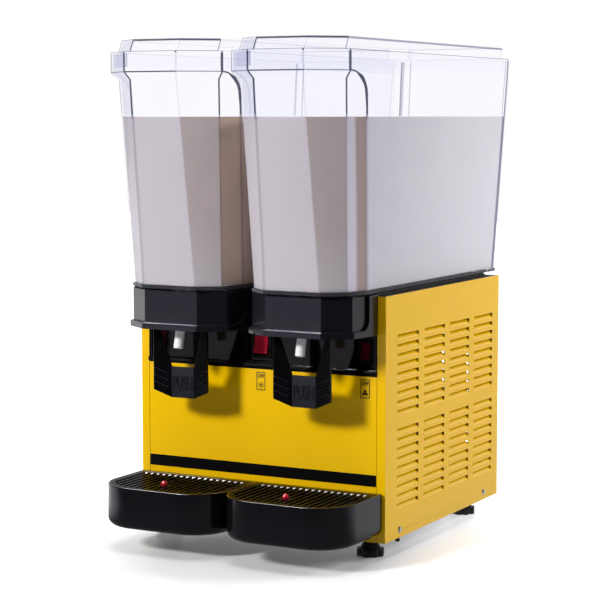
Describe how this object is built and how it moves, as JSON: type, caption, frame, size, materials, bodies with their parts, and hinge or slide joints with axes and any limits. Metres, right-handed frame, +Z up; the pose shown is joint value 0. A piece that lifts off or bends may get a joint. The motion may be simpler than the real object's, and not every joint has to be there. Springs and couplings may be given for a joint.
{
  "type": "cold drink dispenser",
  "caption": "Counter-top cold drink dispenser: clear lidded tanks on a louvered cabinet, with push-lever taps, rocker switches, drip trays and a cooling unit inside.",
  "frame": {"origin": "on the counter, under the middle of the whole machine's width and depth", "axes": "+X to the right of someone who faces the taps, +Y from the taps to the back, +Z up"},
  "size_m": [0.3632, 0.551, 0.651],
  "materials": {
    "yellow_paint": "gloss enamel",
    "black_gloss": "gloss",
    "charcoal_plastic": "satin",
    "bright_red": "gloss",
    "dark_red": "gloss",
    "clear_plastic": "clear, polished",
    "white_plastic": "semi-gloss",
    "grey_plastic": "matte",
    "black_plastic": "matte",
    "zinc_steel": "zinc coated",
    "bright_steel": "bright",
    "black_rubber": "matte",
    "red_rubber": "matte",
    "copper": "drawn tube",
    "aluminium_fins": "mill",
    "black_paint": "satin",
    "magnet_iron": "dull"
  },
  "bodies": {
    "cabinet": {"base_pan": "zinc_steel", "left_side_panel": "yellow_paint", "right_side_panel": "yellow_paint", "front_panel": "yellow_paint", "rear_panel": "yellow_paint", "top_deck": "black_plastic", "control_fascia": "black_gloss", "switch_bodies": "black_plastic", "panel_screws": "bright_steel", "cable_gland": "black_plastic", "compressor": "black_paint", "compressor_mounts": "black_rubber", "condenser": "aluminium_fins", "fan_shroud": "black_plastic", "fan_motor": "black_paint", "refrigerant_lines": "copper", "left_cold_plate": "bright_steel", "right_cold_plate": "bright_steel", "evaporator_coils": "copper", "motor_brackets": "zinc_steel", "left_mixer_motor": "black_paint", "right_mixer_motor": "black_paint", "paddle_pins": "bright_steel", "left_tank_gasket": "black_rubber", "right_tank_gasket": "black_rubber", "left_tap_housing": "charcoal_plastic", "right_tap_housing": "charcoal_plastic", "left_valve_body": "grey_plastic", "right_valve_body": "grey_plastic", "outlet_seals": "red_rubber", "left_valve_spring": "bright_steel", "right_valve_spring": "bright_steel", "lever_pins": "bright_steel", "tray_hangers": "zinc_steel"},
    "left_tank": {"left_tank": "clear_plastic"},
    "left_lid": {"left_lid": "clear_plastic"},
    "left_drive": {"left_drive_magnet": "magnet_iron"},
    "left_paddle": {"left_paddle": "white_plastic"},
    "left_lever": {"left_lever": "charcoal_plastic"},
    "left_plunger": {"left_plunger": "white_plastic"},
    "left_tray": {"left_drip_tray": "black_gloss"},
    "left_grille": {"left_drip_grille": "black_gloss"},
    "left_float": {"left_float": "bright_red"},
    "right_tank": {"right_tank": "clear_plastic"},
    "right_lid": {"right_lid": "clear_plastic"},
    "right_drive": {"right_drive_magnet": "magnet_iron"},
    "right_paddle": {"right_paddle": "white_plastic"},
    "right_lever": {"right_lever": "charcoal_plastic"},
    "right_plunger": {"right_plunger": "white_plastic"},
    "right_tray": {"right_drip_tray": "black_gloss"},
    "right_grille": {"right_drip_grille": "black_gloss"},
    "right_float": {"right_float": "bright_red"},
    "left_rocker": {"left_rocker": "dark_red"},
    "center_rocker": {"center_rocker": "bright_red"},
    "right_rocker": {"right_rocker": "dark_red"},
    "fan": {"fan_blade": "black_plastic"},
    "front_left_foot": {"front_left_foot": "black_plastic"},
    "front_right_foot": {"front_right_foot": "black_plastic"},
    "rear_left_foot": {"rear_left_foot": "black_plastic"},
    "rear_right_foot": {"rear_right_foot": "black_plastic"}
  },
  "joints": [
    {"name": "left_tank_lift", "type": "slide", "parent": "cabinet", "child": "left_tank", "axis": [0, 0, 1], "range_m": [0, 0.15]},
    {"name": "left_lid_lift", "type": "slide", "parent": "left_tank", "child": "left_lid", "axis": [0, 0, 1], "range_m": [0, 0.06]},
    {"name": "left_drive_spin", "type": "hinge", "parent": "cabinet", "child": "left_drive", "pos_m": [-0.0885, 0.0365, 0.321], "axis": [0, 0, 1], "continuous": true},
    {"name": "left_paddle_spin", "type": "hinge", "parent": "cabinet", "child": "left_paddle", "pos_m": [-0.0885, 0.0365, 0.346], "axis": [0, 0, 1], "continuous": true},
    {"name": "left_lever_push", "type": "hinge", "parent": "cabinet", "child": "left_lever", "pos_m": [-0.0885, -0.2015, 0.305], "axis": [1, 0, 0], "range_deg": [0, 14], "stiffness_Nm_per_rad": 0.6, "springref_deg": -5.73},
    {"name": "left_plunger_lift", "type": "slide", "parent": "cabinet", "child": "left_plunger", "axis": [0, 0, 1], "range_m": [0, 0.0033], "deforming": ["left_valve_spring"]},
    {"name": "left_tray_lift", "type": "slide", "parent": "cabinet", "child": "left_tray", "axis": [0, 0, 1], "range_m": [0, 0.03]},
    {"name": "left_grille_lift", "type": "slide", "parent": "left_tray", "child": "left_grille", "axis": [0, 0, 1], "range_m": [0, 0.03]},
    {"name": "left_float_rise", "type": "slide", "parent": "left_grille", "child": "left_float", "axis": [0, 0, 1], "range_m": [0, 0.012]},
    {"name": "right_tank_lift", "type": "slide", "parent": "cabinet", "child": "right_tank", "axis": [0, 0, 1], "range_m": [0, 0.15]},
    {"name": "right_lid_lift", "type": "slide", "parent": "right_tank", "child": "right_lid", "axis": [0, 0, 1], "range_m": [0, 0.06]},
    {"name": "right_drive_spin", "type": "hinge", "parent": "cabinet", "child": "right_drive", "pos_m": [0.0885, 0.0365, 0.321], "axis": [0, 0, 1], "continuous": true},
    {"name": "right_paddle_spin", "type": "hinge", "parent": "cabinet", "child": "right_paddle", "pos_m": [0.0885, 0.0365, 0.346], "axis": [0, 0, 1], "continuous": true},
    {"name": "right_lever_push", "type": "hinge", "parent": "cabinet", "child": "right_lever", "pos_m": [0.0885, -0.2015, 0.305], "axis": [1, 0, 0], "range_deg": [0, 14], "stiffness_Nm_per_rad": 0.6, "springref_deg": -5.73},
    {"name": "right_plunger_lift", "type": "slide", "parent": "cabinet", "child": "right_plunger", "axis": [0, 0, 1], "range_m": [0, 0.0033], "deforming": ["right_valve_spring"]},
    {"name": "right_tray_lift", "type": "slide", "parent": "cabinet", "child": "right_tray", "axis": [0, 0, 1], "range_m": [0, 0.03]},
    {"name": "right_grille_lift", "type": "slide", "parent": "right_tray", "child": "right_grille", "axis": [0, 0, 1], "range_m": [0, 0.03]},
    {"name": "right_float_rise", "type": "slide", "parent": "right_grille", "child": "right_float", "axis": [0, 0, 1], "range_m": [0, 0.012]},
    {"name": "left_rocker_tip", "type": "hinge", "parent": "cabinet", "child": "left_rocker", "pos_m": [-0.15, -0.1415, 0.262], "axis": [1, 0, 0], "range_deg": [0, 18]},
    {"name": "center_rocker_tip", "type": "hinge", "parent": "cabinet", "child": "center_rocker", "pos_m": [0, -0.1415, 0.262], "axis": [1, 0, 0], "range_deg": [0, 18]},
    {"name": "right_rocker_tip", "type": "hinge", "parent": "cabinet", "child": "right_rocker", "pos_m": [0.15, -0.1415, 0.262], "axis": [1, 0, 0], "range_deg": [0, 18]},
    {"name": "fan_spin", "type": "hinge", "parent": "cabinet", "child": "fan", "pos_m": [0.09, 0.0335, 0.109], "axis": [1, 0, 0], "continuous": true},
    {"name": "front_left_foot_level", "type": "slide", "parent": "cabinet", "child": "front_left_foot", "axis": [0, 0, -1], "range_m": [0, 0.008]},
    {"name": "front_right_foot_level", "type": "slide", "parent": "cabinet", "child": "front_right_foot", "axis": [0, 0, -1], "range_m": [0, 0.008]},
    {"name": "rear_left_foot_level", "type": "slide", "parent": "cabinet", "child": "rear_left_foot", "axis": [0, 0, -1], "range_m": [0, 0.008]},
    {"name": "rear_right_foot_level", "type": "slide", "parent": "cabinet", "child": "rear_right_foot", "axis": [0, 0, -1], "range_m": [0, 0.008]}
  ],
  "couplings": [
    {"joint": "left_paddle_spin", "follows": "left_drive_spin", "ratio": 1},
    {"joint": "left_plunger_lift", "follows": "left_lever_push", "m_per_rad": 0.013},
    {"joint": "right_paddle_spin", "follows": "right_drive_spin", "ratio": 1},
    {"joint": "right_plunger_lift", "follows": "right_lever_push", "m_per_rad": 0.013}
  ]
}
